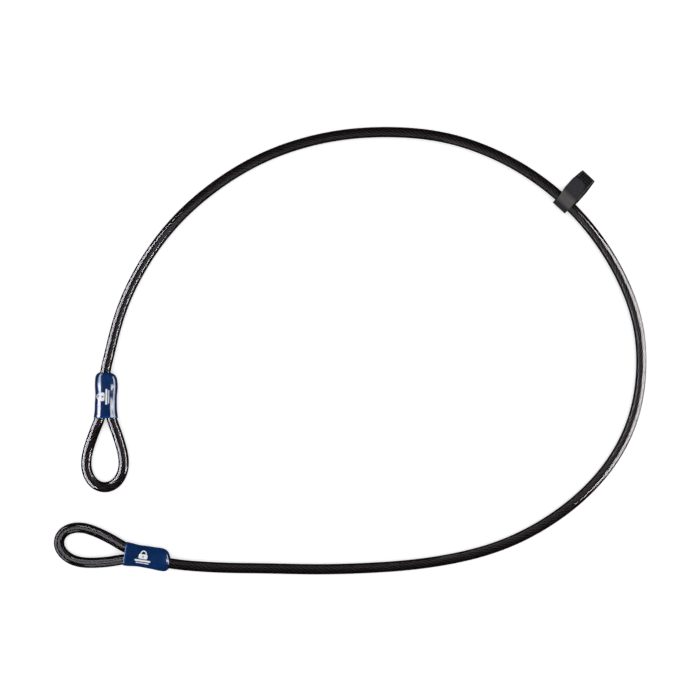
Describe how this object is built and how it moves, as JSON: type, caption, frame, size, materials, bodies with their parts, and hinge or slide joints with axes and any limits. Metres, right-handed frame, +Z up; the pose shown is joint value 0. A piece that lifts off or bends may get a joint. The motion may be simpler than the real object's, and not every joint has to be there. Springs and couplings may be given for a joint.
{
  "type": "cable lock",
  "caption": "Looped security cable: a sheathed steel rope with an eye and a soft boot at each end, and a hook-and-loop strap that slides along it.",
  "frame": {"origin": "on the ground, under the middle of the outline of the cable as it lies flat", "axes": "+X along the loop's longest side, away from the two eyes; +Y towards the side where the strap lies; +Z up, off the ground"},
  "size_m": [0.6859, 0.5183, 0.0172],
  "materials": {
    "steel_rope": "stranded galvanised steel wire rope",
    "smoke_sheath": "glossy smoke-grey see-through PVC",
    "ferrule_metal": "swaged aluminium",
    "blue_boot": "glossy deep blue soft PVC",
    "print_white": "white pad-printed ink",
    "strap_fabric": "black brushed loop tape",
    "hook_tape": "black woven hook tape",
    "thread": "black polyester thread"
  },
  "bodies": {
    "cable": {"wire_rope": "steel_rope", "sheath_main": "smoke_sheath", "sheath_eye_a": "smoke_sheath", "sheath_eye_b": "smoke_sheath", "ferrule_a": "ferrule_metal", "ferrule_b": "ferrule_metal", "boot_a": "blue_boot", "boot_b": "blue_boot"},
    "strap": {"strap_band": "strap_fabric", "hook_patch": "hook_tape", "patch_stitching": "thread"},
    "flap": {"strap_flap": "strap_fabric"}
  },
  "joints": [
    {"name": "strap_slide", "type": "hinge", "parent": "cable", "child": "strap", "pos_m": [0.042, -0.049, 0], "axis": [0, 0, 1], "range_deg": [-20, 20]},
    {"name": "flap_peel", "type": "hinge", "parent": "strap", "child": "flap", "pos_m": [0.25069, 0.17479, 0.0162], "axis": [0.7314, -0.682, 0], "range_deg": [0, 140]}
  ]
}
